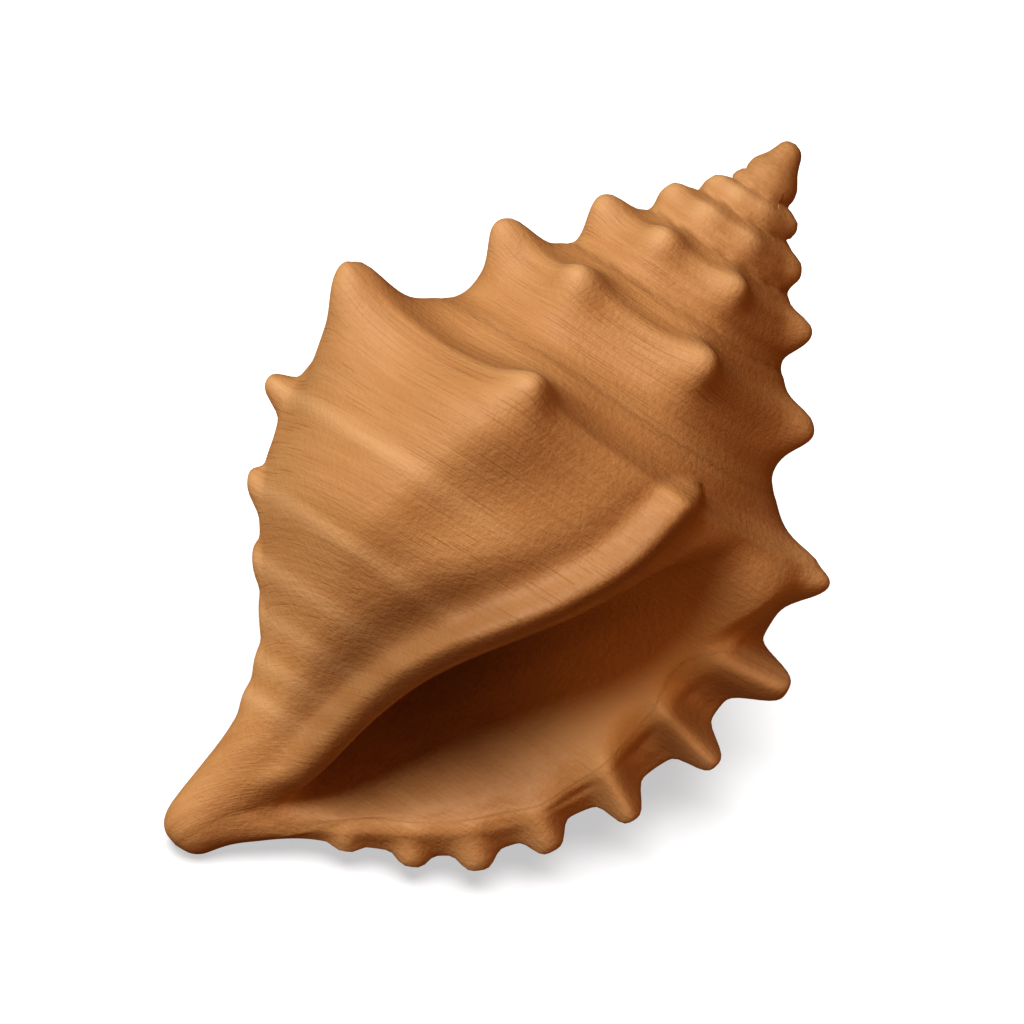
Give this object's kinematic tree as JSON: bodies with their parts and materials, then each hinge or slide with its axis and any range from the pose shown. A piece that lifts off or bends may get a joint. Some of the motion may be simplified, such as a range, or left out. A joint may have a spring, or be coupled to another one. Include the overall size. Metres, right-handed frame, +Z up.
{
  "type": "triton shell",
  "caption": "Spiny brown triton shell with a stepped spire, a row of blunt spines on each whorl, a wide aperture with a fluted lip and a long canal, lying on its back.",
  "frame": {"origin": "centre of the underside of the shell's box, on the surface it rests on", "axes": "+X level along the shell towards its apex, +Z up, -Y out over the lip side"},
  "size_m": [0.1734, 0.13, 0.1215],
  "materials": {
    "shell": "satin"
  },
  "bodies": {
    "root": {"shell": "shell"}
  },
  "joints": []
}
